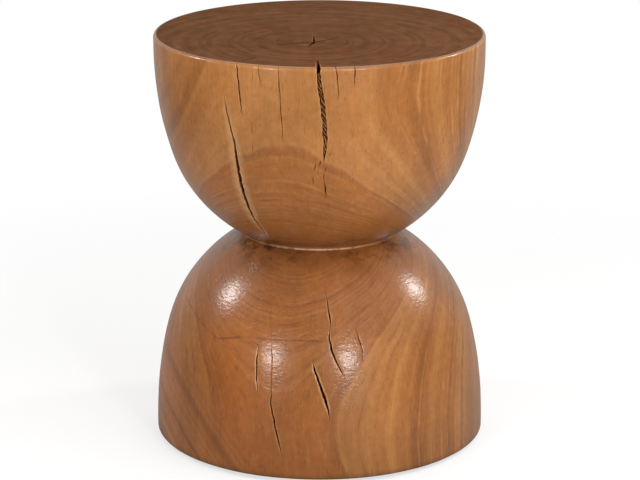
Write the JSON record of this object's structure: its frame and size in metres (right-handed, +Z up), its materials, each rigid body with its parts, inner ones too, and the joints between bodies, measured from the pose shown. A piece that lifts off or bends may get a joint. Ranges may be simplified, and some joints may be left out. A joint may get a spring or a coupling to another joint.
{
  "type": "stool",
  "caption": "Solid turned wood hourglass stool: two bowl-shaped blocks of one log glued waist to waist on fluted dowels, with natural drying checks and nailed floor glides.",
  "frame": {"origin": "on the floor under the middle of the stool", "axes": "+Z up from the floor to the seat; -Y is the front, the side with the filled check that opens through the rim; +X is to the right seen from the front"},
  "size_m": [0.362, 0.362, 0.45],
  "materials": {
    "seat_wood": "satin lacquer over warm brown hardwood, end grain on the seat",
    "base_wood": "satin lacquer over warm brown hardwood",
    "filler": "crumbly sawdust and glue, matt",
    "dowel_wood": "raw pale hardwood",
    "glide_nylon": "moulded nylon, fine texture",
    "nail_steel": "plain flat-headed nail"
  },
  "bodies": {
    "root": {"seat_block": "seat_wood", "base_block": "base_wood", "check_filler": "filler", "centre_dowel": "dowel_wood", "side_dowel_1": "dowel_wood", "side_dowel_2": "dowel_wood", "side_dowel_3": "dowel_wood", "glide_1": "glide_nylon", "glide_2": "glide_nylon", "glide_3": "glide_nylon", "glide_4": "glide_nylon", "glide_nail_1": "nail_steel", "glide_nail_2": "nail_steel", "glide_nail_3": "nail_steel", "glide_nail_4": "nail_steel"}
  },
  "joints": []
}
